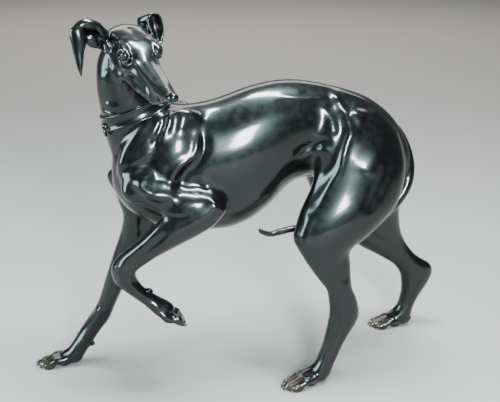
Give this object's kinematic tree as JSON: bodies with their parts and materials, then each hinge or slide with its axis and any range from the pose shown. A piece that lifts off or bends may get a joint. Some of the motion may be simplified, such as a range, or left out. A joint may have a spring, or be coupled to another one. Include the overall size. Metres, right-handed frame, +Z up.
{
  "type": "greyhound statue",
  "caption": "Life-size greyhound cast in dark bronze, stepping forward on three paws with a foreleg raised, its collared head turned back over its shoulder.",
  "frame": {"origin": "on the floor under the middle of the statue's box", "axes": "-X is the way the dog steps, -Y is its left side, +Z is up"},
  "size_m": [1.1094, 0.428, 0.9183],
  "materials": {
    "patinated_bronze": "near-black green-tinged patina under polished wax, rubbed to warm brown on nose, collar and edges"
  },
  "bodies": {
    "root": {"greyhound": "patinated_bronze"}
  },
  "joints": []
}
